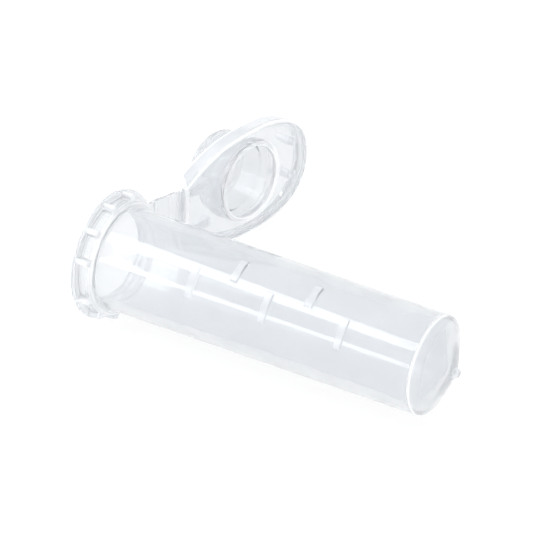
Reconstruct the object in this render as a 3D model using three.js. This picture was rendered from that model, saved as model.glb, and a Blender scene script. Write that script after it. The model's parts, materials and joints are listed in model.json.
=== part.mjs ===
// A clear polypropylene 2 ml microcentrifuge tube with its attached snap lid open.
//
// The tube lies on its side: +X runs from the mouth to the tip, +Y from the tube
// to the lid, and +Z is up, so both hinge lines stand upright. Millimetres.
// The origin is on the table, under the middle of the whole object.

import * as THREE from 'three';

// ---- driving dimensions ----

const ROUND_STEPS = 72;               // facets around a full turn
const SIDE_STEPS = 14;                // steps along each curved side of the lid
const SEAM = 0.02;                    // gap between neighbouring moulded regions

// barrel and conical base, measured from the mouth
const BARREL_START = 2.1;
const BARREL_END = 37.6;
const BARREL_TOP_RADIUS = 5.4;
const BARREL_END_RADIUS = 5.0;
const BORE_TOP_RADIUS = 4.62;
const BORE_END_RADIUS = 4.12;
const BASE_END = 39.9;
const BASE_FLOOR = 1.0;
const SHOULDER = 0.3;                 // rounding where the barrel turns into the base
const NUB_RADIUS = 0.62;
const NUB_END = 40.4;

// collar round the mouth
const FLANGE_RADIUS = 6.85;
const FLANGE_THICKNESS = 0.55;
const BAND_RADIUS = 6.15;
const BAND_END = 1.8;
const MOUTH_RADIUS = 4.82;
const LEAD_IN = 0.35;                 // chamfer that guides the plug into the mouth
const RIB_ANGLES = [20, 48, 77, 106]; // degrees from the front of the collar, both ways
const RIB_WIDTH = 0.75;
const RIB_RADIUS = 6.75;

// graduation bars: a main row and a staggered row round the barrel
const BAR_PITCH = 8.4;                // the length of bore that holds half a millilitre
const FIRST_BAR = 13.0;
const BAR_WIDTH = 0.8;
const BAR_HEIGHT = 0.18;
const MAIN_ROW = { angle: 34.5, sweep: 34 };
const QUARTER_ROW = { angle: 64, sweep: 28 };

// hinge strap, from its root on the collar to the crease that the lid folds on
const ROOT = { x: 0.1, y: 7.3 };
const CREASE = { x: 1.1, y: 10.65 };
const STRAP_WIDTH = 5.7;
const STRAP_THICKNESS = 0.45;
const ROOT_CLEARANCE = 0.15;
const FILM_RADIUS = 0.11;

// lid: lengths from the crease, depths from its top face
const OPEN_PAST_FLAT = 7.65;          // degrees that the open lid leans past flat
const PLUG_CENTRE = CREASE.y;         // so that the closed plug lands on the tube's axis
const WIDEST = 11.2;
const LID_LENGTH = 20.2;
const LID_HALF_WIDTH = 6.2;
const TAB_FULLNESS = 2.3;             // 2 would make the front of the lid an ellipse
const FLARE = 2.4;                    // 2 would widen it from the hinge along a parabola
const HINGE_HALF_WIDTH = 3.1;
const PLATE_THICKNESS = 0.8;
const CREASE_DEPTH = 1.1;
const SKIRT_START = 1.0;
const SKIRT_DEPTH = 1.95;
const SKIRT_WALL = 0.55;
const PLUG_DEPTH = 5.8;
const PLUG_TOP_RADIUS = 4.6;
const PLUG_END_RADIUS = 4.3;
const PLUG_WALL = 0.5;
const PLUG_CHAMFER = 0.45;
const FLOOR_THICKNESS = 0.7;
const BEAD_DEPTH = 2.9;
const BEAD_RADIUS = 0.25;
const LEAF_LENGTH = 0.8;
const GUSSET = { start: 1.0, end: 4.4, inner: 1.8, outer: 2.8 };
const LATCH = { inner: 17.55, outer: 18.25, depth: 3.1, barb: 0.25, sideIn: 1.5, sideOut: 2.7 };

// ---- worked-out dimensions ----

const STRAP_LENGTH = Math.hypot(CREASE.x - ROOT.x, CREASE.y - ROOT.y);
const STRAP_LEAN = Math.atan2(CREASE.x - ROOT.x, CREASE.y - ROOT.y);
const LID_LEAN = THREE.MathUtils.degToRad(OPEN_PAST_FLAT);

function barrelRadius(x) {
  const along = (x - BARREL_START) / (BARREL_END - BARREL_START);
  return THREE.MathUtils.lerp(BARREL_TOP_RADIUS, BARREL_END_RADIUS, along);
}

function plugRadius(depth) {
  const along = (depth - PLATE_THICKNESS) / (PLUG_DEPTH - PLATE_THICKNESS);
  return THREE.MathUtils.lerp(PLUG_TOP_RADIUS, PLUG_END_RADIUS, along);
}

// ---- shape helpers ----

// Turns a profile of [distance along X, radius] pairs about the X axis.
function turned(profile) {
  const points = profile.map(([along, radius]) => new THREE.Vector2(radius, along));
  const geometry = new THREE.LatheGeometry(points, ROUND_STEPS);
  return geometry.rotateZ(-Math.PI / 2);
}

// A ring closes its profile on itself; a solid starts and ends on the axis.
function ring(profile) {
  return turned([...profile, profile[0]]);
}

// Extrudes a shape drawn in the Y-Z plane from one X to another.
function plateAcross(shape, fromX, toX) {
  const depth = toX - fromX;
  const geometry = new THREE.ExtrudeGeometry(shape, { depth, bevelEnabled: false });
  geometry.translate(0, 0, fromX);
  const alongY = new THREE.Vector3(0, 1, 0);
  const alongZ = new THREE.Vector3(0, 0, 1);
  const alongX = new THREE.Vector3(1, 0, 0);
  return geometry.applyMatrix4(new THREE.Matrix4().makeBasis(alongY, alongZ, alongX));
}

// Extrudes a shape drawn in the X-Y plane from one height to another.
function prism(points, fromZ, toZ) {
  const shape = new THREE.Shape(points.map(([x, y]) => new THREE.Vector2(x, y)));
  const geometry = new THREE.ExtrudeGeometry(shape, { depth: toZ - fromZ, bevelEnabled: false });
  return geometry.translate(0, 0, fromZ);
}

// A sector of a ring in the Y-Z plane; angles are in degrees from -Y towards +Z.
function ringSector(innerRadius, outerRadius, middle, sweep) {
  const first = THREE.MathUtils.degToRad(180 - middle - sweep / 2);
  const last = THREE.MathUtils.degToRad(180 - middle + sweep / 2);
  const shape = new THREE.Shape();
  shape.absarc(0, 0, outerRadius, first, last, false);
  shape.absarc(0, 0, innerRadius, last, first, true);
  return shape;
}

// A round hole on the Y axis of the Y-Z plane, wound against the outlines below.
function circle(centreY, radius) {
  const points = [];
  for (let step = 0; step < ROUND_STEPS; step += 1) {
    const turn = (step / ROUND_STEPS) * Math.PI * 2;
    points.push(new THREE.Vector2(centreY + radius * Math.cos(turn), radius * Math.sin(turn)));
  }
  return new THREE.Path(points);
}

// ---- materials ----

function clearPlastic(colour, roughness, opacity) {
  return new THREE.MeshStandardMaterial({
    color: colour,
    roughness,
    metalness: 0,
    transparent: true,
    opacity,
  });
}

function part(name, geometry, look = [0xe3e9f0, 0.12, 0.35]) {
  const mesh = new THREE.Mesh(geometry, clearPlastic(...look));
  mesh.name = name;
  return mesh;
}

const THICK = [0xe8edf3, 0.2, 0.5];    // regions that look whiter because they are thicker

// ---- tube ----

// Runs up inside the collar as far as the flange.
function barrelWall() {
  const start = FLANGE_THICKNESS + SEAM;
  return ring([
    [start, BARREL_TOP_RADIUS],
    [BARREL_START, BARREL_TOP_RADIUS],
    [BARREL_END, BARREL_END_RADIUS],
    [BARREL_END, BORE_END_RADIUS],
    [BARREL_START, BORE_TOP_RADIUS],
    [BAND_END, MOUTH_RADIUS],
    [start, MOUTH_RADIUS],
  ]);
}

function conicalBase() {
  const start = BARREL_END + SEAM;
  return turned([
    [BASE_END - BASE_FLOOR, 0],
    [start + SHOULDER, BORE_END_RADIUS],
    [start, BORE_END_RADIUS],
    [start, BARREL_END_RADIUS],
    [start + SHOULDER * 0.5, BARREL_END_RADIUS - SHOULDER * 0.15],
    [start + SHOULDER, BARREL_END_RADIUS - SHOULDER * 0.6],
    [BASE_END, NUB_RADIUS],
    [BASE_END, 0],
  ]);
}

function tipNub() {
  const start = BASE_END + SEAM;
  return turned([
    [start, 0],
    [start, NUB_RADIUS],
    [NUB_END - 0.15, NUB_RADIUS * 0.9],
    [NUB_END, NUB_RADIUS * 0.6],
    [NUB_END, 0],
  ]);
}

function mouthFlange() {
  return ring([
    [0, MOUTH_RADIUS + LEAD_IN],
    [0, FLANGE_RADIUS - 0.1],
    [0.1, FLANGE_RADIUS],
    [FLANGE_THICKNESS, FLANGE_RADIUS],
    [FLANGE_THICKNESS, MOUTH_RADIUS],
    [LEAD_IN, MOUTH_RADIUS],
  ]);
}

// The collar's outline: the band's circle, stepped out at each grip rib.
function ribbedOutline() {
  const halfRib = RIB_WIDTH / RIB_RADIUS / 2;
  const middles = RIB_ANGLES.flatMap((angle) => [angle, -angle]).sort((a, b) => a - b);
  const ribs = middles.map((angle) => THREE.MathUtils.degToRad(angle));
  const points = [];
  const add = (turn, radius) => {
    points.push(new THREE.Vector2(-radius * Math.cos(turn), radius * Math.sin(turn)));
  };
  ribs.forEach((rib, index) => {
    const next = index + 1 < ribs.length ? ribs[index + 1] : ribs[0] + Math.PI * 2;
    const gap = next - rib - halfRib * 2;
    const steps = Math.ceil((gap / (Math.PI * 2)) * ROUND_STEPS);
    add(rib - halfRib, RIB_RADIUS);
    add(rib + halfRib, RIB_RADIUS);
    for (let step = 0; step <= steps; step += 1) {
      add(rib + halfRib + (gap * step) / steps, BAND_RADIUS);
    }
  });
  return points;
}

function collarBand() {
  const shape = new THREE.Shape(ribbedOutline());
  shape.holes.push(circle(0, BARREL_TOP_RADIUS + SEAM));
  return plateAcross(shape, FLANGE_THICKNESS + SEAM, BAND_END);
}

// The step behind the band, whose back face rests on a rack.
function collarShoulder() {
  const start = BAND_END + SEAM;
  return ring([
    [start, BAND_RADIUS],
    [BARREL_START, BAND_RADIUS - 0.25],
    [BARREL_START, BARREL_TOP_RADIUS + SEAM],
    [start, BARREL_TOP_RADIUS + SEAM],
  ]);
}

function graduationBar(x, row) {
  const inner = barrelRadius(x - BAR_WIDTH / 2) + SEAM / 2;
  const shape = ringSector(inner, inner + BAR_HEIGHT, row.angle, row.sweep);
  return plateAcross(shape, x - BAR_WIDTH / 2, x + BAR_WIDTH / 2);
}

// Fills the space between the round flange and the straight root of the strap.
function hingeRoot() {
  const inner = FLANGE_RADIUS + SEAM;
  const reach = Math.asin(STRAP_WIDTH / 2 / inner);
  const shape = new THREE.Shape();
  shape.moveTo(ROOT.y - ROOT_CLEARANCE, -STRAP_WIDTH / 2);
  shape.lineTo(ROOT.y - ROOT_CLEARANCE, STRAP_WIDTH / 2);
  shape.absarc(0, 0, inner, reach, -reach, true);
  return plateAcross(shape, ROOT.x, ROOT.x + STRAP_THICKNESS);
}

function makeTube() {
  const tube = new THREE.Group();
  tube.add(
    part('mouth_flange', mouthFlange(), THICK),
    part('collar_band', collarBand(), THICK),
    part('collar_shoulder', collarShoulder(), THICK),
    part('hinge_root', hingeRoot(), THICK),
    part('barrel_wall', barrelWall()),
    part('conical_base', conicalBase()),
    part('tip_nub', tipNub(), THICK),
  );
  ['1500ul', '1000ul', '500ul'].forEach((volume, step) => {
    const bar = graduationBar(FIRST_BAR + step * BAR_PITCH, MAIN_ROW);
    tube.add(part(`graduation_bar_${volume}`, bar, THICK));
  });
  ['1250ul', '750ul'].forEach((volume, step) => {
    const bar = graduationBar(FIRST_BAR + (step + 0.5) * BAR_PITCH, QUARTER_ROW);
    tube.add(part(`graduation_bar_${volume}`, bar, THICK));
  });
  return tube;
}

// ---- hinge strap: Y runs from the root to the crease, X is the thickness ----

function makeStrap() {
  const strap = new THREE.Group();
  strap.position.set(ROOT.x, ROOT.y, 0);
  strap.rotation.z = -STRAP_LEAN;

  const start = ROOT_CLEARANCE * 0.4;
  const end = STRAP_LENGTH - FILM_RADIUS - SEAM;
  const leaf = prism(
    [[0, start], [STRAP_THICKNESS, start], [STRAP_THICKNESS, end - 0.25], [0.2, end], [0, end]],
    -STRAP_WIDTH / 2,
    STRAP_WIDTH / 2,
  );
  const film = new THREE.CylinderGeometry(FILM_RADIUS, FILM_RADIUS, STRAP_WIDTH, 12);
  film.rotateX(Math.PI / 2);
  film.translate(0, STRAP_LENGTH, 0);
  strap.add(part('hinge_strap', leaf), part('crease_film', film, THICK));
  return strap;
}

// ---- lid: Y runs from the crease to the tab, X from the crease to the top face ----

// Half the lid's width at a length from the crease: it flares out, then rounds off.
function lidHalfWidth(along, inset) {
  const widest = LID_HALF_WIDTH - inset;
  if (along < WIDEST) {
    const back = (WIDEST - along) / WIDEST;
    return widest - (LID_HALF_WIDTH - HINGE_HALF_WIDTH) * back ** FLARE;
  }
  const forward = (along - WIDEST) / (LID_LENGTH - inset - WIDEST);
  return widest * (1 - forward ** TAB_FULLNESS) ** (1 / TAB_FULLNESS);
}

// One side of the lid's outline, from a start near the hinge to the tip of the tab.
function lidSide(start, inset) {
  const points = [];
  for (let step = 0; step < SIDE_STEPS; step += 1) {
    const along = THREE.MathUtils.lerp(start, WIDEST, step / SIDE_STEPS);
    points.push(new THREE.Vector2(along, lidHalfWidth(along, inset)));
  }
  for (let step = 0; step <= SIDE_STEPS; step += 1) {
    const turn = (step / SIDE_STEPS) * Math.PI / 2;
    const forward = Math.sin(turn) ** (2 / TAB_FULLNESS);
    const along = WIDEST + (LID_LENGTH - inset - WIDEST) * forward;
    points.push(new THREE.Vector2(along, lidHalfWidth(along, inset)));
  }
  return points;
}

// The whole outline: out along one side, round the tip and back along the other.
function lidLoop(start, inset) {
  const side = lidSide(start, inset);
  const back = side.slice(0, -1).map((point) => new THREE.Vector2(point.x, -point.y));
  return [...side, ...back.reverse()];
}

// Extrudes a lid shape between two depths below the top face.
function lidLayer(shape, fromDepth, toDepth) {
  return plateAcross(shape, CREASE_DEPTH - toDepth, CREASE_DEPTH - fromDepth);
}

// A block on the underside of the lid, drawn as [length, depth] and spread along Z.
function lidBlock(points, fromZ, toZ) {
  return prism(points.map(([along, depth]) => [CREASE_DEPTH - depth, along]), fromZ, toZ);
}

// Profiles about the plug's axis are [depth below the top face, radius] pairs.
function plugProfile(profile) {
  return profile.map(([depth, radius]) => [CREASE_DEPTH - depth, radius]).reverse();
}

function lidPlate() {
  const shape = new THREE.Shape(lidLoop(FILM_RADIUS + SEAM, 0));
  shape.holes.push(circle(PLUG_CENTRE, PLUG_TOP_RADIUS - PLUG_WALL));
  return lidLayer(shape, 0, PLATE_THICKNESS);
}

function lidSkirt() {
  const outside = lidLoop(SKIRT_START, 0);
  const inside = lidLoop(SKIRT_START, SKIRT_WALL).reverse();
  const shape = new THREE.Shape([...outside, ...inside]);
  return lidLayer(shape, PLATE_THICKNESS + SEAM, SKIRT_DEPTH);
}

function plugWall() {
  const top = PLATE_THICKNESS + SEAM;
  const bottom = PLUG_DEPTH - FLOOR_THICKNESS - SEAM;
  return ring(plugProfile([
    [top, plugRadius(top)],
    [bottom, plugRadius(bottom)],
    [bottom, plugRadius(bottom) - PLUG_WALL],
    [top, PLUG_TOP_RADIUS - PLUG_WALL],
  ])).translate(0, PLUG_CENTRE, 0);
}

function plugFloor() {
  const top = PLUG_DEPTH - FLOOR_THICKNESS;
  return turned(plugProfile([
    [top, 0],
    [top, plugRadius(top)],
    [PLUG_DEPTH - PLUG_CHAMFER, PLUG_END_RADIUS],
    [PLUG_DEPTH, PLUG_END_RADIUS - PLUG_CHAMFER],
    [PLUG_DEPTH, 0],
  ])).translate(0, PLUG_CENTRE, 0);
}

// A half-round bead that seals the plug in the mouth.
function sealBead() {
  const foot = plugRadius(BEAD_DEPTH - BEAD_RADIUS) + SEAM;
  const profile = [];
  for (let step = 0; step <= 6; step += 1) {
    const turn = (step / 6) * Math.PI;
    const depth = BEAD_DEPTH - BEAD_RADIUS * Math.cos(turn);
    profile.push([depth, foot + BEAD_RADIUS * Math.sin(turn)]);
  }
  return ring(plugProfile(profile)).translate(0, PLUG_CENTRE, 0);
}

// The step under the plate's hinge edge, where the crease takes hold of the lid.
function hingeLeaf() {
  const top = PLATE_THICKNESS + SEAM;
  const near = FILM_RADIUS + SEAM;
  const far = near + LEAF_LENGTH;
  const points = [[near, top], [far, top], [far, CREASE_DEPTH], [near, CREASE_DEPTH]];
  return lidBlock(points, -STRAP_WIDTH / 2, STRAP_WIDTH / 2);
}

// A wedge that rests along the folded strap when the lid is shut.
function hingeGusset(side) {
  const top = PLATE_THICKNESS + SEAM;
  const slope = Math.tan(STRAP_LEAN);
  const bottomAt = (along) => Math.min(CREASE_DEPTH - 0.12 + along * slope, SKIRT_DEPTH - 0.1);
  const points = [
    [GUSSET.start, top],
    [GUSSET.end, top],
    [GUSSET.end, bottomAt(GUSSET.end)],
    [GUSSET.start, bottomAt(GUSSET.start)],
  ];
  const [low, high] = side > 0 ? [GUSSET.inner, GUSSET.outer] : [-GUSSET.outer, -GUSSET.inner];
  return lidBlock(points, low, high);
}

// A hook that drops outside the front of the flange, with its barb turned in.
function frontLatch(side) {
  const top = PLATE_THICKNESS + SEAM;
  const barbTop = LATCH.depth - 0.45;
  const points = [
    [LATCH.inner, top],
    [LATCH.outer, top],
    [LATCH.outer, LATCH.depth],
    [LATCH.inner, LATCH.depth],
    [LATCH.inner - LATCH.barb, barbTop + 0.15],
    [LATCH.inner, barbTop],
  ];
  const [low, high] = side > 0 ? [LATCH.sideIn, LATCH.sideOut] : [-LATCH.sideOut, -LATCH.sideIn];
  return lidBlock(points, low, high);
}

function makeLid() {
  const lid = new THREE.Group();
  lid.position.set(CREASE.x, CREASE.y, 0);
  lid.rotation.z = -LID_LEAN;
  lid.add(
    part('lid_plate', lidPlate()),
    part('lid_skirt', lidSkirt()),
    part('plug_wall', plugWall()),
    part('plug_floor', plugFloor()),
    part('seal_bead', sealBead(), THICK),
    part('hinge_leaf', hingeLeaf(), THICK),
  );
  for (const [name, side] of [['upper', 1], ['lower', -1]]) {
    lid.add(part(`hinge_gusset_${name}`, hingeGusset(side), THICK));
    lid.add(part(`front_latch_${name}`, frontLatch(side), THICK));
  }
  return lid;
}

// ---- assembly: the collar's edge and the lid's edge stand on the table ----

const microtube = new THREE.Group();
microtube.add(makeTube(), makeStrap(), makeLid());
microtube.updateMatrixWorld(true);

const bounds = new THREE.Box3().setFromObject(microtube, true);
const middle = bounds.getCenter(new THREE.Vector3());
microtube.position.set(-middle.x, -middle.y, -bounds.min.z);

export default microtube;
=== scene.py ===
"""A clear polypropylene 2 ml microcentrifuge tube lying on its side with its snap lid open.

The tube, hinge and lid are rebuilt as continuous clear mouldings in the CAD's frame and box.
Shapes are drawn in millimetres in each body's own axes and then placed in that frame, in metres.
"Frost and highlight", 0 to 1 at each vertex, whitens moulded edges: partly frosting, partly a
painted highlight.
"""

import json
import math

import bmesh
import bpy
from mathutils import Matrix, Vector
from mathutils.kdtree import KDTree


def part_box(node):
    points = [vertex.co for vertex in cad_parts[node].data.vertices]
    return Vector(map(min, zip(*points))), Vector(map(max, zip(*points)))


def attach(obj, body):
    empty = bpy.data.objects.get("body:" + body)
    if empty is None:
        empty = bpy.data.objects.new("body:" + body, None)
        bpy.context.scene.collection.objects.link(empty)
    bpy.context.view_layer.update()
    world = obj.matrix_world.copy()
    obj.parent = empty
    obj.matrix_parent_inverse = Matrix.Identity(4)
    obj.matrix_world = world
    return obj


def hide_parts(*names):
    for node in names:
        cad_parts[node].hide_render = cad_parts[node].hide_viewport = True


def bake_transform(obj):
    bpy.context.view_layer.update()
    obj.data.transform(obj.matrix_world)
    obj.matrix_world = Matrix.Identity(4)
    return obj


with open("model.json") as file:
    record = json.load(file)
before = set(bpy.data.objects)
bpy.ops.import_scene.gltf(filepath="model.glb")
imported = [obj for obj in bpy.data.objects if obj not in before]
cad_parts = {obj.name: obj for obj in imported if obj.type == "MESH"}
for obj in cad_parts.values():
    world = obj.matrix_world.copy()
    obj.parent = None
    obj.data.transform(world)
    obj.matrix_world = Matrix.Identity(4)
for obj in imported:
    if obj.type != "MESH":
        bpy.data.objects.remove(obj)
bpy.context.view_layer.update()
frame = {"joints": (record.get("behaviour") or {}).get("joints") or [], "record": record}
MM = 0.001

# ---------------------------------------------------------------- places from the CAD frame

joints = {joint["name"]: joint for joint in frame["joints"]}
mounts = {mount["name"]: mount for mount in frame["record"]["mounts"]}
root_point = Vector(joints["strap_bend"]["pos_m"])
crease_point = Vector(joints["lid_fold"]["pos_m"])
lid_normal = Vector(mounts["lid_top"]["axis"]).normalized()
flange_low, flange_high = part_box("mouth_flange")
mouth_point = Vector((flange_low.x, *((flange_low + flange_high) / 2).yz))
UP = Vector((0, 0, 1))


def axes_at(origin, along_x):
    """Millimetre axes at a point: X as given, Z up and Y across, placed in the CAD's frame."""
    across = UP.cross(along_x)
    matrix = Matrix((along_x, across, UP)).transposed().to_4x4()
    return Matrix.Translation(origin) @ matrix @ Matrix.Scale(MM, 4)


strap_run = crease_point - root_point
STRAP_LENGTH = strap_run.length / MM
TUBE = axes_at(mouth_point, Vector((1, 0, 0)))
STRAP = axes_at(root_point, strap_run.normalized().cross(UP))
LID = axes_at(crease_point, lid_normal)

# ---------------------------------------------------------------- dimensions in millimetres

# tube: places along it from the mouth, and radii at the mouth's end and the tip's end
BARREL_START, BARREL_END, NUB_END = 2.1, 37.6, 40.4
BARREL_TOP, BARREL_LOW = 5.4, 5.0
BORE_TOP, BORE_LOW, MOUTH = 4.62, 4.12, 4.82
# collar: radii, and where the flange and the band end
FLANGE, FLANGE_THICK = 6.85, 0.55
BAND, BAND_END = 6.15, 1.8
# angles round the tube are in degrees, and 0 is the side away from the hinge
# ribs: angles both ways round, radius, half width in degrees and the slope of their sides
RIBS, RIB_REACH, RIB_HALF = (20, 48, 77, 106), 6.75, 3.2
RIB_SLOPE = (-1.4, -0.8, -0.2, 0.4, 1.0)
# how white the ribs are drawn: partly frosting, partly a painted highlight
RIB_FROST_AND_HIGHLIGHT = 0.45
# graduation bars: (middle, angle, length in degrees), half a millilitre apart in each row
BAR_STEP = 8.4
LONG_BARS = [(13.0 + BAR_STEP * n, 34.5, 34) for n in range(3)]
SHORT_BARS = [(17.2 + BAR_STEP * n, 64, 28) for n in range(2)]
BARS = LONG_BARS + SHORT_BARS
BAR_HALF, BAR_HEIGHT, BAR_EDGE = 0.4, 0.18, 0.06
BAR_END_SLOPE = (-0.9, -0.3, 0.3)
# how white the bars are drawn: partly frosting, partly a painted highlight
BAR_FROST_AND_HIGHLIGHT = 0.14
# hinge: the strap's straight root on the flange, with its corner fillets, and the thin webs
ROOT_EDGE, ROOT_FILLET, FILLET_REACH = 7.15, 1.0, 6.84
STRAP_HALF, STRAP_THICK = 2.85, 0.45
WEB_HALF = STRAP_HALF - 0.05
# gap between the fold line and the moulding on each side of it, spanned by the crease web
CREASE_GAP = 0.13

# lid: lengths from the fold line, half widths across, depths from the top face, and the radii of
# the plug and its recess at the top and low down
CREASE_DEPTH, PLATE = 1.1, 0.8
WIDEST, LID_LENGTH, LID_HALF, HINGE_HALF = 11.2, 20.2, 6.2, 3.1
TAB_FULLNESS, FLARE = 2.3, 2.4
SKIRT_DEPTH, SKIRT_WALL = 1.95, 0.55
# where across the lid the hinge's leaf ends, and where along it the skirt reaches its depth
LEAF_SIDE = (2.75, 2.82, 2.9)
SKIRT_RAMP = (0.6, 0.8, 1.0, 1.2, 1.5)
PLUG_CENTRE, PLUG_TOP, PLUG_LOW, PLUG_DEPTH = 10.65, 4.6, 4.42, 5.74
PLUG_FILLET = 0.8
RECESS_TOP, RECESS_LOW, RECESS_DEPTH = 4.1, 3.84, 5.1
RECESS_FILLET = 0.45
BEAD_START, BEAD_LENGTH, BEAD_HEIGHT = 2.1, 1.6, 0.1
# the flat top face between the recess's ring and the rim, and the flat underside below it
TOP_RING, TOP_INSET = 4.72, 0.36
UNDER_RING, UNDER_INSET = PLUG_TOP + 0.22, SKIRT_WALL + 0.22
GUSSET_SIDES, GUSSET_ROUND = (1.8, 2.8), 0.12
LATCH_ALONG, LATCH_SIDE, LATCH_STRETCH = 17.78, 2.1, 1.15
GATE_ALONG, GATE_SIDE = 15.6, -3.39
# how white the gussets, latches and gate mark are drawn: partly frosting, partly a painted
# highlight
THICK_FROST_AND_HIGHLIGHT, GATE_FROST_AND_HIGHLIGHT = 0.8, 0.9

# shading turns sharp above these angles in degrees
SHARP_ANGLE, BLOCK_SHARP_ANGLE = 38, 50


def mix(a, b, share):
    """From a at share 0 to b at share 1."""
    return a + (b - a) * share


def ease(value, start, end):
    """0 before start, 1 after end, smooth between."""
    t = min(1.0, max(0.0, (value - start) / (end - start)))
    return t * t * (3 - 2 * t)


# ---------------------------------------------------------------- mesh helpers


def new_piece(name, vertices, faces, place, frost_and_highlight):
    """An object whose vertices are given in a body's millimetre axes, with each one's frost and
    painted highlight.
    """
    mesh = bpy.data.meshes.new(name)
    mesh.from_pydata([place @ Vector(v) for v in vertices], [], faces)
    mesh.validate()
    # these values whiten the colour and raise a painted glow: partly frosting, partly a painted
    # highlight
    layer = mesh.attributes.new("frost_and_highlight", "FLOAT", "POINT")
    layer.data.foreach_set("value", frost_and_highlight)
    bm = bmesh.new()
    bm.from_mesh(mesh)
    bmesh.ops.recalc_face_normals(bm, faces=bm.faces)
    bm.to_mesh(mesh)
    bm.free()
    obj = bpy.data.objects.new(name, mesh)
    bpy.context.scene.collection.objects.link(obj)
    smooth(obj, SHARP_ANGLE)
    return obj


def smooth(obj, sharp):
    """Smooth shading, but for edges sharper than the angle in degrees."""
    for polygon in obj.data.polygons:
        polygon.use_smooth = True
    obj.data.set_sharp_from_angle(angle=math.radians(sharp))


def closed_grid(rows):
    """Vertices and faces of a closed skin: equal rings between two single end points."""
    vertices, starts = [], []
    for row in rows:
        starts.append(len(vertices))
        vertices.extend(row)
    faces = []
    for first, second, low, high in zip(rows, rows[1:], starts, starts[1:]):
        count = max(len(first), len(second))
        for j in range(count):
            k = (j + 1) % count
            if len(first) == 1:
                faces.append((low, high + j, high + k))
            elif len(second) == 1:
                faces.append((low + j, low + k, high))
            else:
                faces.append((low + j, low + k, high + k, high + j))
    return vertices, faces


def columns(step, extra):
    """Angles in degrees round a full turn: even steps, and extra ones where features need them."""
    wanted = {round(a % 360, 4) for a in extra}
    angles = sorted(wanted | {float(a) for a in range(0, 360, step)})
    least_gap = 0.12
    kept = [angles[0]]
    for angle in angles[1:]:
        if angle - kept[-1] > least_gap:
            kept.append(angle)
        elif angle in wanted:
            kept[-1] = angle
    return kept


def frost_and_highlight_of(obj):
    """The frost and painted highlight values of an object's vertices."""
    return obj.data.attributes["frost_and_highlight"].data


def union(target, tools):
    """Melts the tools into the target, so that light meets no wall between them.

    The join keeps only the target's frost and painted highlight, so the tools' values are put back
    by place.
    """
    spots = []
    for tool in tools:
        for vertex, mark in zip(tool.data.vertices, frost_and_highlight_of(tool)):
            spots.append((vertex.co.copy(), mark.value))
    near = KDTree(len(spots))
    for index, (spot, _) in enumerate(spots):
        near.insert(spot, index)
    near.balance()
    for tool in tools:
        modifier = target.modifiers.new("join", "BOOLEAN")
        modifier.operation = "UNION"
        modifier.solver = "EXACT"
        modifier.object = tool
    graph = bpy.context.evaluated_depsgraph_get()
    joined = bpy.data.meshes.new_from_object(target.evaluated_get(graph))
    target.modifiers.clear()
    target.data = joined
    same_place = 0.001 * MM
    for vertex, mark in zip(joined.vertices, frost_and_highlight_of(target)):
        _, index, distance = near.find(vertex.co)
        if distance < same_place:
            mark.value = spots[index][1]
    for tool in tools:
        bpy.data.objects.remove(tool)


def block(name, outline, low, high, place, frost_and_highlight):
    """A prism: an outline in the X-Y plane of a body's axes, from one Z to another.

    Frost and painted highlight are given for each point of the outline.
    """
    count = len(outline)
    vertices = [(x, y, low) for x, y in outline] + [(x, y, high) for x, y in outline]
    faces = [tuple(range(count)), tuple(range(2 * count - 1, count - 1, -1))]
    for j in range(count):
        k = (j + 1) % count
        faces.append((j, j + count, k + count, k))
    return new_piece(name, vertices, faces, place, frost_and_highlight * 2)


def round_edges(obj, radius):
    """Rounds every edge of a block, by a radius in millimetres."""
    bm = bmesh.new()
    bm.from_mesh(obj.data)
    bmesh.ops.bevel(
        bm,
        geom=bm.edges[:],
        offset=radius * MM,
        offset_type="OFFSET",
        segments=3,
        profile=0.5,
        affect="EDGES",
    )
    bm.to_mesh(obj.data)
    bm.free()
    smooth(obj, BLOCK_SHARP_ANGLE)


# ---------------------------------------------------------------- tube


def rib_at(angle):
    """How far the collar stands out at an angle: 0 on the band, 1 on a rib."""
    turns = [rib * side for rib in RIBS for side in (1, -1)]
    off = min(abs((angle - turn + 180) % 360 - 180) for turn in turns)
    return 1 - ease(off, RIB_HALF + RIB_SLOPE[0], RIB_HALF + RIB_SLOPE[-1])


def root_reach(angle):
    """The flange's outer radius, which grows to the straight root of the strap at 180."""
    phi = math.radians(abs(angle - 180))
    past_root = 1.0  # radians, where the flange is plain again
    if phi > past_root:
        return FLANGE
    fillet_side = STRAP_HALF + ROOT_FILLET
    # march out along the ray until it leaves the flange, the strap's root and the fillets
    radius, stride = FLANGE, 0.01
    while radius < ROOT_EDGE / math.cos(phi) - 0.001:
        side = radius * math.sin(phi)
        reach = radius * math.cos(phi)
        outside_arc = math.hypot(side - fillet_side, reach - FILLET_REACH) > ROOT_FILLET
        in_fillet = side < fillet_side and reach < FILLET_REACH and outside_arc
        if side > STRAP_HALF and not in_fillet:
            break
        radius += stride
    return radius


def bar_at(x, angle):
    """How far a graduation bar stands out at a place on the barrel, from 0 to 1."""
    best = 0.0
    for middle, turn, sweep in BARS:
        along = 1 - ease(abs(x - middle), BAR_HALF - BAR_EDGE, BAR_HALF + BAR_EDGE)
        off = abs((angle - turn + 180) % 360 - 180)
        across = 1 - ease(off, sweep / 2 + BAR_END_SLOPE[0], sweep / 2 + BAR_END_SLOPE[-1])
        best = max(best, along * across)
    return best


def barrel_share(x):
    """0 at the barrel's end by the collar, 1 at its end by the cone."""
    return (x - BARREL_START) / (BARREL_END - BARREL_START)


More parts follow.
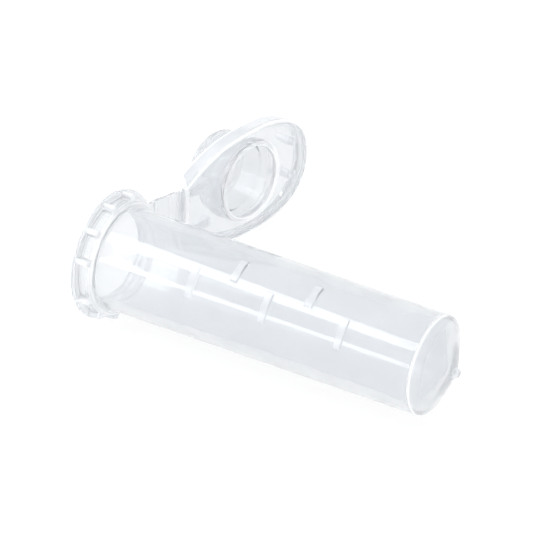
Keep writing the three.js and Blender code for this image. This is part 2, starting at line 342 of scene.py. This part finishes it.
def tube_rows():
    """(x, radius, kind, frost and painted highlight) from the floor of the bore, over the flange
    and down to the tip.

    A row without a fourth value has none. The kinds are "plain", a circle of that radius; "rim",
    which adds the flange's outline; "band", which adds the band and its ribs; and "barrel", which
    takes its radius from the barrel's taper and bars.
    """
    # inside: the bore's floor, its wall and the mouth
    floor = [(38.90, 0.0), (38.88, 0.25), (38.78, 0.55), (38.4, 1.36), (37.98, 2.25)]
    floor += [(37.5, 3.27), (37.22, 3.84), (37.1, 4.02), (36.9, BORE_LOW + 0.004)]
    bore = [(x, mix(BORE_TOP, BORE_LOW, barrel_share(x))) for x in range(35, 2, -2)]
    mouth = [(2.15, 4.63), (2.0, 4.66), (1.85, 4.74), (1.7, 4.81), (0.6, MOUTH), (0.38, 4.825)]
    rows = [(x, r, "plain") for x, r in floor + bore + mouth]
    # the flange's front face and its rim
    # the fourth values here and below whiten rounded edges: partly frosting, partly a painted
    # highlight
    rows += [(0.22, 4.9, "plain", 0.6), (0.06, 5.08, "plain", 0.7), (0.0, 5.22, "plain", 0.2)]
    rows += [(0.0, 5.9, "plain"), (0.0, 6.66, "plain", 0.3), (0.03, 6.77, "plain", 0.6)]
    rows += [(0.12, 0.0, "rim", 0.6), (0.25, 0.0, "rim", 0.1), (0.4, 0.0, "rim", 0.1)]
    rows += [(0.5, -0.04, "rim", 0.6), (FLANGE_THICK, -0.12, "rim", 0.5)]
    # the band with its ribs, then the shoulder and the fillet to the barrel
    rows += [(0.56, 0.04, "band", 0.2), (0.66, 0.0, "band"), (1.6, 0.0, "band")]
    rows += [(1.73, -0.04, "band", 0.4), (1.79, -0.1, "band", 0.5)]
    rows += [(BAND_END, 6.04, "plain", 0.3), (2.04, 5.94, "plain", 0.5)]
    rows += [(BARREL_START, 5.86, "plain", 0.4), (BARREL_START, 5.6, "plain")]
    rows += [(2.14, 5.46, "plain", 0.3), (2.24, BARREL_TOP + 0.005, "plain")]
    # the barrel: a row every 2 mm, and more across each bar
    stations = {2.4, 37.0, 37.4}
    for middle, _, _ in BARS:
        for off in (0.9, BAR_HALF + BAR_EDGE, BAR_HALF, BAR_HALF - BAR_EDGE, 0.12):
            stations |= {round(middle - off, 3), round(middle + off, 3)}
    stations |= {float(x) for x in range(4, 37, 2)}
    rows += [(x, 0.0, "barrel") for x in sorted(stations)]
    # the cone's edge, the cone and the nub on its tip
    rows += [(37.54, 5.0, "plain", 0.1), (37.61, 5.0, "plain", 0.3), (37.7, 4.975, "plain", 0.95)]
    rows += [(37.79, 4.92, "plain", 0.3), (37.9, 4.82, "plain", 0.15), (38.4, 3.78, "plain", 0.04)]
    rows += [(39.0, 2.52, "plain"), (39.6, 1.26, "plain", 0.06), (39.82, 0.78, "plain", 0.1)]
    rows += [(39.94, 0.56, "plain", 0.1), (40.16, 0.47, "plain", 0.1), (40.33, 0.35, "plain", 0.1)]
    rows += [(NUB_END, 0.16, "plain", 0.1), (NUB_END, 0.0, "plain")]
    return rows


def make_tube():
    """The tube's moulding: a round skin with extra columns where its ribs and bars have edges."""
    extra = []
    for rib in RIBS:
        for side in (1, -1):
            offsets = [RIB_HALF + off for off in RIB_SLOPE]
            extra += [rib * side + off * s for off in offsets for s in (1, -1)]
            extra += [rib * side]
    for _, turn, sweep in BARS:
        extra += [turn + s * (sweep / 2 + off) for s in (1, -1) for off in BAR_END_SLOPE]
    angles = columns(2, extra)
    rows, frost_and_highlight = [], []
    for x, r, kind, *edge in tube_rows():
        edge = edge[0] if edge else 0.0
        if kind == "plain" and r == 0.0:
            rows.append([(x, 0, 0)])
            frost_and_highlight.append(0.0)
            continue
        ring = []
        for angle in angles:
            radius, mark = r, edge
            if kind == "rim":
                radius = root_reach(angle) + r
            elif kind == "band":
                rib = rib_at(angle)
                radius = mix(BAND, RIB_REACH, rib) + r
                mark = max(edge, RIB_FROST_AND_HIGHLIGHT * rib)
            elif kind == "barrel":
                bar = bar_at(x, angle)
                radius = mix(BARREL_TOP, BARREL_LOW, barrel_share(x)) + BAR_HEIGHT * bar
                mark = BAR_FROST_AND_HIGHLIGHT * bar
            turn = math.radians(angle)
            ring.append((x, -radius * math.cos(turn), radius * math.sin(turn)))
            frost_and_highlight.append(mark)
        rows.append(ring)
    vertices, faces = closed_grid(rows)
    return new_piece("tube_moulding", vertices, faces, TUBE, frost_and_highlight)


tube = make_tube()
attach(tube, "tube")
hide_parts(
    "mouth_flange",
    "collar_band",
    "collar_shoulder",
    "hinge_root",
    "barrel_wall",
    "conical_base",
    "tip_nub",
    "graduation_bar_1500ul",
    "graduation_bar_1250ul",
    "graduation_bar_1000ul",
    "graduation_bar_750ul",
    "graduation_bar_500ul",
)

# ---------------------------------------------------------------- hinge


def sheet(name, sections, half, place):
    """A flat strip: each section is (y, low x, high x, frost and painted highlight), and the strip
    is 2 * half wide.
    """
    low = [(x_low, y) for y, x_low, _, _ in sections]
    high = [(x_high, y) for y, _, x_high, _ in sections]
    marks = [mark for _, _, _, mark in sections]
    return block(name, low + high[::-1], -half, half, place, marks + marks[::-1])


strap_end = STRAP_LENGTH - CREASE_GAP
# the strap's fourth values whiten its ends and thin part: partly frosting, partly a painted
# highlight
strap_profile = [(0.06, 0.04, 0.41, 0.4), (0.14, 0.0, STRAP_THICK, 0.4)]
strap_profile += [(0.3, 0.0, STRAP_THICK, 0.1), (strap_end - 1.5, 0.0, STRAP_THICK, 0.1)]
# thinner towards the fold line
strap_profile += [(strap_end - 1.3, 0.0, 0.42, 0.3), (strap_end - 1.1, 0.0, 0.34, 0.5)]
strap_profile += [(strap_end - 0.9, 0.0, 0.29, 0.2), (strap_end - 0.4, 0.0, 0.22, 0.2)]
strap_profile += [(strap_end - 0.1, 0.0, 0.2, 0.4), (strap_end, 0.0, 0.2, 0.9)]
strap = sheet("hinge_strap_moulding", strap_profile, STRAP_HALF, STRAP)
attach(strap, "strap")
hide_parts("hinge_strap")


def film(name, sections):
    """A thin web between two bodies: a flat strip in the strap's axes, fixed where it stands."""
    obj = sheet(name, sections, WEB_HALF, STRAP)
    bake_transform(obj)
    return obj


# the webs' fourth values whiten them: partly frosting, partly a painted highlight over the dark
# line at the root
web_steps = [n / 8 for n in range(9)]
root_web = film(
    "root_film",
    sections=[(mix(-0.2, 0.055, t), 0.07, 0.36, 0.5) for t in web_steps],
)
crease_web = film(
    "crease_film_web",
    sections=[(STRAP_LENGTH + mix(-0.125, 0.125, t), 0.01, 0.17, 0.1) for t in web_steps],
)
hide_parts("crease_film")

# ---------------------------------------------------------------- lid


def half_width(along, inset):
    """Half the lid's width at a length from the fold line, when moved in by the inset."""
    widest = LID_HALF - inset
    if along < WIDEST:
        back = max(0.0, (WIDEST - along) / WIDEST)
        return widest - (LID_HALF - HINGE_HALF) * back**FLARE
    forward = (along - WIDEST) / (LID_LENGTH - inset - WIDEST)
    if forward >= 1:
        return 0.0
    return widest * (1 - forward**TAB_FULLNESS) ** (1 / TAB_FULLNESS)


def outline_point(angle, inset):
    """Where a ray from the plug's centre leaves the lid's outline, moved in by the inset."""
    turn = math.radians(angle)
    hinge_edge = CREASE_GAP + inset
    # halve the stretch between the centre and a point well outside the lid
    low, high = 0.0, 14.0
    for _ in range(40):
        middle = (low + high) / 2
        along = PLUG_CENTRE + middle * math.cos(turn)
        inside = along > hinge_edge and abs(middle * math.sin(turn)) < half_width(along, inset)
        low, high = (middle, high) if inside else (low, middle)
    return PLUG_CENTRE + low * math.cos(turn), low * math.sin(turn)


def skirt_at(angle):
    """The rim's depth under the top face: the full skirt, or the shallow leaf at the hinge."""
    along, side = outline_point(angle, 0.0)
    leaf = mix(CREASE_DEPTH, PLATE + 0.03, ease(abs(side), LEAF_SIDE[0], LEAF_SIDE[-1]))
    return mix(leaf, SKIRT_DEPTH, ease(along, SKIRT_RAMP[0], SKIRT_RAMP[-1]))


def plug_radius(depth):
    """The plug's outer radius at a depth, without the seal bead."""
    return mix(PLUG_TOP, PLUG_LOW, (depth - PLATE) / (PLUG_DEPTH - PLATE))


def lid_rows():
    """(kind, size, depth, frost and painted highlight) from the recess's floor, over the rim and
    down to the plug's end.

    A row without a fourth value has none. The kinds are "circle", of that radius about the plug;
    "inset", the outline moved in by that much; "between" and "under", that share of the way from a
    circle to the outline, on the top face and under it; and "rim", an inset whose depth is measured
    up from the rim's edge.
    """
    # the recess: its floor, the fillet, the wall and the ring round its mouth
    rows = [("circle", 0.0, RECESS_DEPTH), ("circle", 1.2, RECESS_DEPTH)]
    rows += [("circle", 2.3, RECESS_DEPTH), ("circle", 3.0, RECESS_DEPTH), ("circle", 3.36, 5.09)]
    # the fourth values here and below whiten rounded edges: partly frosting, partly a painted
    # highlight
    fillet_radius, fillet_depth = 3.4, RECESS_DEPTH - RECESS_FILLET
    for turn in (15, 35, 55, 75):
        a = math.radians(turn)
        radius = fillet_radius + RECESS_FILLET * math.sin(a)
        rows.append(("circle", radius, fillet_depth + RECESS_FILLET * math.cos(a), 0.12))
    for t in (0.1, 0.3, 0.5, 0.75):
        rows.append(("circle", mix(RECESS_LOW, RECESS_TOP, t), mix(4.8, 0.8, t)))
    rows += [("circle", RECESS_TOP - 0.02, 0.8, 0.15), ("circle", RECESS_TOP, 0.4, 0.35)]
    rows += [("circle", RECESS_TOP + 0.01, 0.2, 0.6), ("circle", 4.14, 0.08, 0.95)]
    rows += [("circle", 4.2, 0.02, 0.95), ("circle", 4.3, 0.0, 0.5)]
    rows += [("circle", 4.5, 0.0, 0.5), ("circle", 4.64, 0.0, 0.4)]
    # the flat top face and its rounded outer edge
    rows += [("circle", TOP_RING, 0.0), ("between", 0.5, 0.0), ("inset", TOP_INSET, 0.0)]
    rows += [("inset", 0.24, 0.01, 0.6), ("inset", 0.12, 0.05, 0.95)]
    rows += [("inset", 0.03, 0.14, 0.8), ("inset", 0.0, 0.28, 0.2), ("inset", 0.0, 0.7, 0.15)]
    # the skirt's outside, its rounded edge and its inside
    rows += [("rim", 0.0, 0.4, 0.15), ("rim", 0.0, 0.24, 0.7), ("rim", 0.04, 0.12, 0.8)]
    rows += [("rim", 0.14, 0.03, 0.9), ("rim", 0.27, 0.0, 0.9), ("rim", 0.41, 0.03, 0.5)]
    rows += [("rim", 0.51, 0.12), ("rim", SKIRT_WALL, 0.24, 0.25)]
    rows += [("inset", SKIRT_WALL + 0.02, 1.05, 0.25), ("inset", SKIRT_WALL + 0.08, 0.9, 0.25)]
    # the plate's underside and the root of the plug
    rows += [("inset", UNDER_INSET, PLATE, 0.1), ("under", 0.5, PLATE)]
    rows += [("circle", UNDER_RING, PLATE), ("circle", PLUG_TOP + 0.06, 0.86)]
    rows += [("circle", PLUG_TOP, 1.05)]
    # the plug's outside with its seal bead, its rounded edge and its end
    rows += [("circle", plug_radius(d), d) for d in (1.5, 1.8, 2.0)]
    for step in range(1, 16):
        d = BEAD_START + BEAD_LENGTH * step / 16
        swell = math.sin(math.pi * step / 16) ** 2
        rows.append(("circle", plug_radius(d) + BEAD_HEIGHT * swell, d))
    rows += [("circle", plug_radius(d), d) for d in (3.8, 4.1, 4.4, 4.8)]
    for turn in (0, 15, 30, 45, 60, 75):
        a = math.radians(turn)
        radius = PLUG_LOW - PLUG_FILLET * (1 - math.cos(a))
        rows.append(("circle", radius, PLUG_DEPTH - PLUG_FILLET * (1 - math.sin(a)), 0.1))
    rows += [("circle", PLUG_LOW - PLUG_FILLET - 0.05, PLUG_DEPTH)]
    rows += [("circle", 2.8, PLUG_DEPTH), ("circle", 1.4, PLUG_DEPTH), ("circle", 0.0, PLUG_DEPTH)]
    return rows


def angle_about_plug(along, side):
    """The angle in degrees at which a place on the lid is seen from the plug's centre."""
    return math.degrees(math.atan2(side, along - PLUG_CENTRE))


def make_lid():
    """The lid's moulding: one skin over the recess, the top, the skirt and the plug."""
    corner = angle_about_plug(CREASE_GAP, HINGE_HALF)
    leaf = [angle_about_plug(CREASE_GAP, side) for side in LEAF_SIDE]
    ramp = [angle_about_plug(along, half_width(along, 0)) for along in SKIRT_RAMP]
    extra = [a * s for a in [corner, *leaf, *ramp] for s in (1, -1)]
    angles = columns(2, extra)
    rows, frost_and_highlight = [], []
    for kind, size, depth, *edge in lid_rows():
        edge = edge[0] if edge else 0.0
        if size == 0.0 and kind == "circle":
            rows.append([(CREASE_DEPTH - depth, PLUG_CENTRE, 0)])
            frost_and_highlight.append(edge)
            continue
        ring = []
        for angle in angles:
            turn = math.radians(angle)
            down = depth
            if kind == "circle":
                along, side = PLUG_CENTRE + size * math.cos(turn), size * math.sin(turn)
            elif kind in ("between", "under"):
                on_top = kind == "between"
                inner = TOP_RING if on_top else UNDER_RING
                outer = outline_point(angle, TOP_INSET if on_top else UNDER_INSET)
                along = mix(PLUG_CENTRE + inner * math.cos(turn), outer[0], size)
                side = mix(inner * math.sin(turn), outer[1], size)
            else:
                along, side = outline_point(angle, size)
            if kind == "rim":
                down = skirt_at(angle) - depth
            elif kind == "inset" and depth > PLATE:
                # the skirt's inside is no deeper than its edge
                down = min(depth, skirt_at(angle) - 0.02)
            ring.append((CREASE_DEPTH - down, along, side))
            frost_and_highlight.append(edge)
        rows.append(ring)
    vertices, faces = closed_grid(rows)
    return new_piece("lid_moulding", vertices, faces, LID, frost_and_highlight)


def lid_gusset(side):
    """A wedge under the lid, on one side of the hinge, that stays clear of the folded strap."""
    strap_slope = strap_run.x / strap_run.y
    # (length, depth)
    profile = [(1.0, 0.7), (4.3, 0.7), (4.3, 1.8), (3.6, 1.84), (1.0, 0.98 + strap_slope)]
    outline = [(CREASE_DEPTH - depth, along) for along, depth in profile]
    low, high = sorted(across * side for across in GUSSET_SIDES)
    gusset = block("gusset", outline, low, high, LID, [THICK_FROST_AND_HIGHLIGHT] * len(outline))
    round_edges(gusset, GUSSET_ROUND)
    return gusset


def lid_peg(name, along, side, rings, stretch, frost_and_highlight):
    """A round peg square to the lid: each ring is (radius, depth), stretched across the lid."""
    turns = [math.radians(a) for a in range(0, 360, 15)]
    rows = [[(CREASE_DEPTH - rings[0][1], along, side)]]
    for radius, depth in rings:
        ring = []
        for turn in turns:
            across = side + radius * stretch * math.sin(turn)
            ring.append((CREASE_DEPTH - depth, along + radius * math.cos(turn), across))
        rows.append(ring)
    rows.append([(CREASE_DEPTH - rings[-1][1], along, side)])
    vertices, faces = closed_grid(rows)
    return new_piece(name, vertices, faces, LID, [frost_and_highlight] * len(vertices))


lid = make_lid()
latch_rings = [(0.42, 0.7), (0.46, 1.2), (0.46, 2.4), (0.5, 2.6), (0.5, 2.75), (0.44, 2.92)]
latch_rings += [(0.34, 3.02), (0.18, 3.08)]
tools = []
for side in (1, -1):
    tools.append(lid_gusset(side))
    latch_side = LATCH_SIDE * side
    tools.append(lid_peg("latch", LATCH_ALONG, latch_side, latch_rings, LATCH_STRETCH, THICK_FROST_AND_HIGHLIGHT))
gate_rings = [(0.3, 0.3), (0.3, -0.01), (0.24, -0.05), (0.12, -0.06)]
tools.append(lid_peg("gate_mark", GATE_ALONG, GATE_SIDE, gate_rings, 1.0, GATE_FROST_AND_HIGHLIGHT))
union(lid, tools)
smooth(lid, SHARP_ANGLE)
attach(lid, "lid")
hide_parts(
    "lid_plate",
    "lid_skirt",
    "plug_wall",
    "plug_floor",
    "seal_bead",
    "hinge_leaf",
    "hinge_gusset_upper",
    "hinge_gusset_lower",
    "front_latch_upper",
    "front_latch_lower",
)

# ---------------------------------------------------------------- materials

# noise scales are per metre
CLOUD_SCALE, CLOUD_LOW, CLOUD_HIGH = 240, 0.3, 0.7
RIPPLE_SCALE, RIPPLE_STRENGTH, RIPPLE_HEIGHT = 700, 0.04, 0.1 * MM
POLYPROPYLENE_IOR = 1.49
# a faint painted glow that stands in for light scattered inside the plastic, brighter as a painted
# highlight where edges are marked
GLOW_STRENGTH = 0.12
CLEAR_GLOW = (0.24, 0.245, 0.25, 1)
PAINTED_HIGHLIGHT_GLOW = (0.95, 0.97, 1.0, 1)
# marked edges get a whiter colour, a rougher gloss and less clear light: partly frosting, partly a
# painted highlight
FROST_AND_HIGHLIGHT_COLOUR = (0.97, 0.98, 0.99, 1)
FROST_AND_HIGHLIGHT_ROUGHNESS, FROST_AND_HIGHLIGHT_TRANSMISSION = 0.2, -0.7


def clear_plastic(name, tint, deep_tint, rough, haze):
    """Clear polypropylene: faint flow clouding in tint and haze, gloss that varies, and marked
    edges that are partly frosted and partly a painted highlight.

    Where the clouding is low the plastic has its deep tint and the first of each pair in rough and
    haze, and where it is high it has its tint and the second. Haze is the share of light that the
    plastic scatters instead of letting through.
    """
    material = bpy.data.materials.new(name)
    material.use_nodes = True
    nodes, links = material.node_tree.nodes, material.node_tree.links
    shader = nodes["Principled BSDF"]
    shader.inputs["IOR"].default_value = POLYPROPYLENE_IOR
    shader.inputs["Emission Strength"].default_value = GLOW_STRENGTH

    def node(kind, **values):
        """A new node with the values of its named inputs."""
        made = nodes.new(kind)
        for key, value in values.items():
            made.inputs[key].default_value = value
        return made

    place = node("ShaderNodeTexCoord")
    clouds = node("ShaderNodeTexNoise", Scale=CLOUD_SCALE, Detail=3)
    links.new(place.outputs["Object"], clouds.inputs["Vector"])

    colours = node("ShaderNodeValToRGB")
    deep, pale = colours.color_ramp.elements
    deep.position = CLOUD_LOW
    deep.color = (*deep_tint, 1)
    pale.position = CLOUD_HIGH
    pale.color = (*tint, 1)
    links.new(clouds.outputs["Fac"], colours.inputs["Fac"])

    def from_clouds(low, high):
        """A value that goes from low to high with the clouding."""
        spread = node("ShaderNodeMapRange")
        spread.inputs["From Min"].default_value = CLOUD_LOW
        spread.inputs["From Max"].default_value = CLOUD_HIGH
        spread.inputs["To Min"].default_value = low
        spread.inputs["To Max"].default_value = high
        links.new(clouds.outputs["Fac"], spread.inputs["Value"])
        return spread.outputs["Result"]

    marks = node("ShaderNodeAttribute")
    marks.attribute_name = "frost_and_highlight"

    def add_frost_and_highlight(value, amount):
        """The value plus that amount times the frost and painted highlight mark."""
        total = node("ShaderNodeMath")
        total.operation = "MULTIPLY_ADD"
        total.inputs[1].default_value = amount
        links.new(marks.outputs["Fac"], total.inputs[0])
        links.new(value, total.inputs[2])
        return total.outputs["Value"]

    # whiter colour where edges are marked: partly frosting, partly a painted highlight
    whiten = nodes.new("ShaderNodeMixRGB")
    whiten.inputs["Color2"].default_value = FROST_AND_HIGHLIGHT_COLOUR
    links.new(marks.outputs["Fac"], whiten.inputs["Fac"])
    links.new(colours.outputs["Color"], whiten.inputs["Color1"])
    links.new(whiten.outputs["Color"], shader.inputs["Base Color"])
    # a painted glow in the emission, brighter where edges are marked as a painted highlight
    glow = nodes.new("ShaderNodeMixRGB")
    glow.inputs["Color1"].default_value = CLEAR_GLOW
    glow.inputs["Color2"].default_value = PAINTED_HIGHLIGHT_GLOW
    links.new(marks.outputs["Fac"], glow.inputs["Fac"])
    links.new(glow.outputs["Color"], shader.inputs["Emission Color"])
    roughness = add_frost_and_highlight(from_clouds(*rough), FROST_AND_HIGHLIGHT_ROUGHNESS)
    clear = add_frost_and_highlight(from_clouds(1 - haze[0], 1 - haze[1]), FROST_AND_HIGHLIGHT_TRANSMISSION)
    links.new(roughness, shader.inputs["Roughness"])
    links.new(clear, shader.inputs["Transmission Weight"])

    ripples = node("ShaderNodeTexNoise", Scale=RIPPLE_SCALE, Detail=2)
    links.new(place.outputs["Object"], ripples.inputs["Vector"])
    bump = node("ShaderNodeBump", Strength=RIPPLE_STRENGTH, Distance=RIPPLE_HEIGHT)
    links.new(ripples.outputs["Fac"], bump.inputs["Height"])
    links.new(bump.outputs["Normal"], shader.inputs["Normal"])
    return material


def wear(material, *objects):
    """Gives the objects this material and no other."""
    for obj in objects:
        obj.data.materials.clear()
        obj.data.materials.append(material)


WALL_TINT, WALL_DEEP = (0.872, 0.886, 0.905), (0.847, 0.865, 0.888)
PLATE_TINT, PLATE_DEEP = (0.87, 0.884, 0.904), (0.85, 0.868, 0.89)
wall = clear_plastic("clear_wall", WALL_TINT, WALL_DEEP, rough=(0.015, 0.05), haze=(0.2, 0.26))
plate = clear_plastic("clear_plate", PLATE_TINT, PLATE_DEEP, rough=(0.015, 0.05), haze=(0.18, 0.23))
web = clear_plastic("clear_thick", WALL_TINT, WALL_DEEP, rough=(0.03, 0.09), haze=(0.25, 0.3))
wear(wall, tube)
wear(plate, strap, lid)
wear(web, root_web, crease_web)

# ---------------------------------------------------------------- stage, light and camera

# a hair below the object, so that the two don't share a plane
FLOOR_DROP = 0.05 * MM
FLOOR_HALF = 1.2
LIGHT_DISTANCE = 0.6


def make_floor():
    """A plain pale floor, lit mostly by itself so that only a faint shadow shows on it."""
    bm = bmesh.new()
    bmesh.ops.create_grid(bm, x_segments=1, y_segments=1, size=FLOOR_HALF)
    mesh = bpy.data.meshes.new("floor")
    bm.to_mesh(mesh)
    bm.free()
    floor = bpy.data.objects.new("floor", mesh)
    bpy.context.scene.collection.objects.link(floor)
    floor.location.z = -FLOOR_DROP
    material = bpy.data.materials.new("floor_paper")
    material.use_nodes = True
    shader = material.node_tree.nodes["Principled BSDF"]
    shader.inputs["Base Color"].default_value = (0.2, 0.2, 0.2, 1)
    shader.inputs["Roughness"].default_value = 0.9
    shader.inputs["Specular IOR Level"].default_value = 0.0
    shader.inputs["Emission Color"].default_value = (1, 1, 1, 1)
    shader.inputs["Emission Strength"].default_value = 0.84
    mesh.materials.append(material)


def direction(azimuth, elevation):
    """The direction from the object at an azimuth and elevation in degrees. Azimuth 0 is -Y."""
    a, e = math.radians(azimuth), math.radians(elevation)
    return Vector((math.sin(a) * math.cos(e), -math.cos(a) * math.cos(e), math.sin(e)))


def soft_light(name, azimuth, elevation, width, height, power, turn=0.0):
    """An area light in that direction from the object, aimed at it and turned about its aim."""
    towards = direction(azimuth, elevation)
    light = bpy.data.lights.new(name, "AREA")
    light.shape = "RECTANGLE"
    light.size = width
    light.size_y = height
    light.energy = power
    obj = bpy.data.objects.new(name, light)
    obj.location = towards * LIGHT_DISTANCE
    obj.rotation_mode = "QUATERNION"
    aim = (-towards).to_track_quat("-Z", "Y")
    obj.rotation_quaternion = aim @ Matrix.Rotation(math.radians(turn), 4, "Z").to_quaternion()
    bpy.context.scene.collection.objects.link(obj)


def make_world():
    """A white studio all round, a little cooler and darker low down."""
    world = bpy.data.worlds.new("studio")
    bpy.context.scene.world = world
    world.use_nodes = True
    nodes, links = world.node_tree.nodes, world.node_tree.links
    place = nodes.new("ShaderNodeTexCoord")
    split = nodes.new("ShaderNodeSeparateXYZ")
    links.new(place.outputs["Generated"], split.inputs["Vector"])
    ramp = nodes.new("ShaderNodeValToRGB")
    low, high = ramp.color_ramp.elements
    low.position = 0.0
    low.color = (0.93, 0.945, 0.965, 1)
    high.position = 0.6
    high.color = (0.99, 0.995, 1.0, 1)
    links.new(split.outputs["Z"], ramp.inputs["Fac"])
    links.new(ramp.outputs["Color"], nodes["Background"].inputs["Color"])
    nodes["Background"].inputs["Strength"].default_value = 0.97


# the view was solved from the barrel's and collar's edges in the photo
CAMERA_AZIMUTH, CAMERA_ELEVATION, CAMERA_ROLL = 32.104, 30.241, 1.041
CAMERA_PLACE = Vector((99.330, -170.315, 120.431)) * MM
CAMERA_SENSOR, CAMERA_LENS = 36, 150.73


def make_camera():
    """A camera at the photo's viewing angle."""
    camera = bpy.data.objects.new("camera", bpy.data.cameras.new("camera"))
    bpy.context.scene.collection.objects.link(camera)
    azimuth, roll = math.radians(CAMERA_AZIMUTH), math.radians(CAMERA_ROLL)
    back = direction(CAMERA_AZIMUTH, CAMERA_ELEVATION)
    level = Vector((math.cos(azimuth), math.sin(azimuth), 0))
    above = back.cross(level)
    right = level * math.cos(roll) + above * math.sin(roll)
    top = above * math.cos(roll) - level * math.sin(roll)
    turn = Matrix((right, top, back)).transposed()
    camera.location = CAMERA_PLACE
    camera.rotation_mode = "QUATERNION"
    camera.rotation_quaternion = turn.to_quaternion()
    camera.data.sensor_width = CAMERA_SENSOR
    camera.data.lens = CAMERA_LENS
    camera.data.clip_start = 0.01
    camera.data.clip_end = 10
    bpy.context.scene.camera = camera


make_floor()
make_world()
# the upper and lower strips make the long reflections on the barrel, and the side strip joins
# them near the mouth and lights the far wall of the lid's recess
soft_light("upper_strip", azimuth=-50, elevation=54, width=0.45, height=0.14, power=0.8)
soft_light("lower_strip", azimuth=-28, elevation=15, width=0.4, height=0.08, power=0.28)
soft_light("side_strip", azimuth=-42.5, elevation=32.4, width=0.1, height=0.5, power=0.55, turn=26)
make_camera()
scene = bpy.context.scene
scene.view_settings.view_transform = "Standard"
scene.cycles.use_denoising = True
scene.cycles.max_bounces = 32
scene.cycles.glossy_bounces = 24
scene.cycles.transmission_bounces = 32
